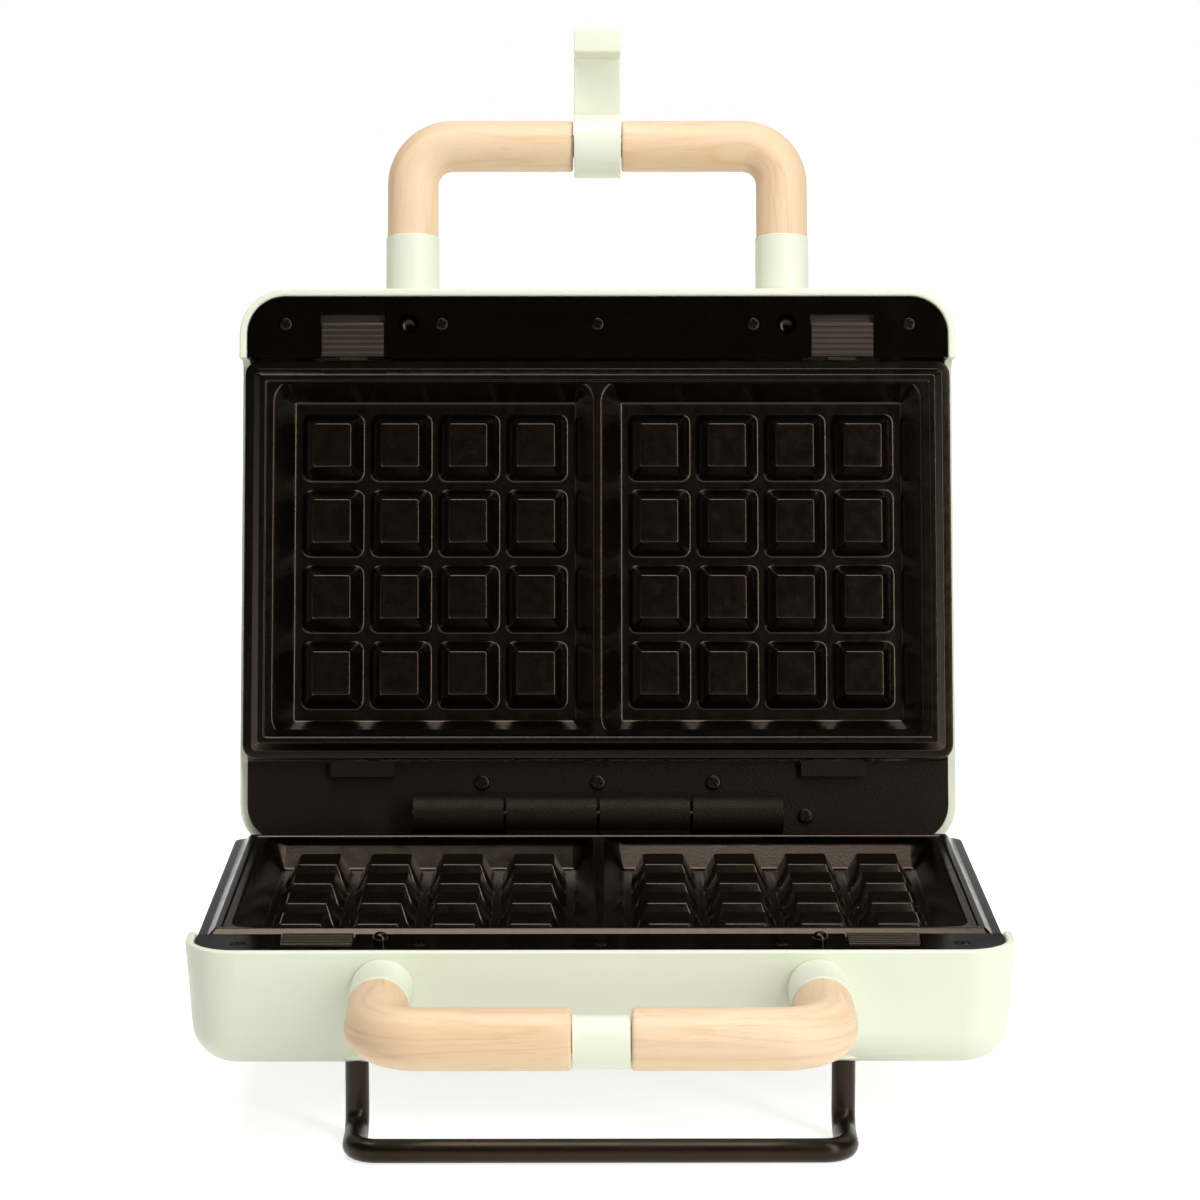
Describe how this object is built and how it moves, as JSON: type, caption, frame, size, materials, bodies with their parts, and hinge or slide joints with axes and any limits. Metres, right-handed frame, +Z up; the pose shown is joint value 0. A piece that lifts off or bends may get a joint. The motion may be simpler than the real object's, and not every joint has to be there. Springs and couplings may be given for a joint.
{
  "type": "waffle contact grill",
  "caption": "Hinged contact grill with a waffle plate in base and lid, U-shaped wooden handles, a latch clip and a wire stand bar.",
  "frame": {"origin": "on the table, centred on the width and on the depth of the base shell", "axes": "+X to the right seen from the handle side, +Y to the hinge, +Z up"},
  "size_m": [0.2498, 0.3406, 0.328],
  "materials": {
    "mint_shell": "satin",
    "maple": "oiled",
    "plate_coating": "non-stick coating",
    "gloss_black": "gloss",
    "matt_black": "fine texture",
    "dark_steel": "blackened",
    "steel": "zinc plated",
    "black_steel": "satin",
    "tray_aluminium": "bright",
    "rubber": "matt"
  },
  "bodies": {
    "base": {"base_shell": "mint_shell", "base_front_deck": "gloss_black", "base_locating_pegs": "gloss_black", "base_deck_screws": "dark_steel", "base_hinge_screws": "dark_steel", "base_hinge_cover": "matt_black", "base_handle_core": "steel", "base_handle_bracket": "steel", "base_handle_sleeve": "mint_shell", "base_grip_left": "maple", "base_grip_right": "maple", "base_ferrule_left": "mint_shell", "base_ferrule_right": "mint_shell", "base_heating_element": "steel", "base_reflector_tray": "tray_aluminium", "base_thermostat": "steel", "base_catch_spring_left": "steel", "base_catch_spring_right": "steel", "terminal_block": "matt_black", "cord_bushing": "rubber", "hinge_pin": "steel", "stand_bar": "black_steel", "stand_bar_push_nuts": "steel", "rear_foot_left": "matt_black", "rear_foot_right": "matt_black", "rear_foot_pad_left": "rubber", "rear_foot_pad_right": "rubber", "rear_foot_screws": "steel"},
    "lid": {"lid_shell": "mint_shell", "lid_front_deck": "gloss_black", "lid_deck_screws": "dark_steel", "lid_hinge_screws": "dark_steel", "lid_hinge_panel": "matt_black", "lid_handle_core": "steel", "lid_handle_bracket": "steel", "lid_grip_left": "maple", "lid_grip_right": "maple", "lid_ferrule_left": "mint_shell", "lid_ferrule_right": "mint_shell", "lid_heating_element": "steel", "lid_reflector_tray": "tray_aluminium", "lid_thermostat": "steel", "lid_catch_spring_left": "steel", "lid_catch_spring_right": "steel", "thermal_fuse": "steel"},
    "latch_clip": {"latch_clip": "mint_shell"},
    "base_plate": {"base_plate": "plate_coating"},
    "lid_plate": {"lid_plate": "plate_coating"},
    "base_catch_left": {"base_release_catch_left": "matt_black"},
    "base_catch_right": {"base_release_catch_right": "matt_black"},
    "lid_catch_left": {"lid_release_catch_left": "matt_black"},
    "lid_catch_right": {"lid_release_catch_right": "matt_black"}
  },
  "joints": [
    {"name": "lid_hinge", "type": "hinge", "parent": "base", "child": "lid", "pos_m": [0, 0.086, 0.0615], "axis": [-1, 0, 0], "range_deg": [-105, 0]},
    {"name": "latch_clip_pivot", "type": "hinge", "parent": "lid", "child": "latch_clip", "pos_m": [0, 0.15898, 0.2871], "axis": [-1, 0, 0], "range_deg": [-90, 0]},
    {"name": "base_plate_lift", "type": "slide", "parent": "base", "child": "base_plate", "axis": [0, 0, 1], "range_m": [0, 0.024]},
    {"name": "lid_plate_lift", "type": "slide", "parent": "lid", "child": "lid_plate", "axis": [0, -0.9659, 0.2588], "range_m": [0, 0.024]},
    {"name": "base_catch_left_slide", "type": "slide", "parent": "base", "child": "base_catch_left", "axis": [0, -1, 0], "range_m": [0, 0.0025], "stiffness_N_per_m": 400, "springref_m": -0.002, "deforming": ["base_catch_spring_left"]},
    {"name": "base_catch_right_slide", "type": "slide", "parent": "base", "child": "base_catch_right", "axis": [0, -1, 0], "range_m": [0, 0.0025], "stiffness_N_per_m": 400, "springref_m": -0.002, "deforming": ["base_catch_spring_right"]},
    {"name": "lid_catch_left_slide", "type": "slide", "parent": "lid", "child": "lid_catch_left", "axis": [0, 0.2588, 0.9659], "range_m": [0, 0.0025], "stiffness_N_per_m": 400, "springref_m": -0.002, "deforming": ["lid_catch_spring_left"]},
    {"name": "lid_catch_right_slide", "type": "slide", "parent": "lid", "child": "lid_catch_right", "axis": [0, 0.2588, 0.9659], "range_m": [0, 0.0025], "stiffness_N_per_m": 400, "springref_m": -0.002, "deforming": ["lid_catch_spring_right"]}
  ]
}
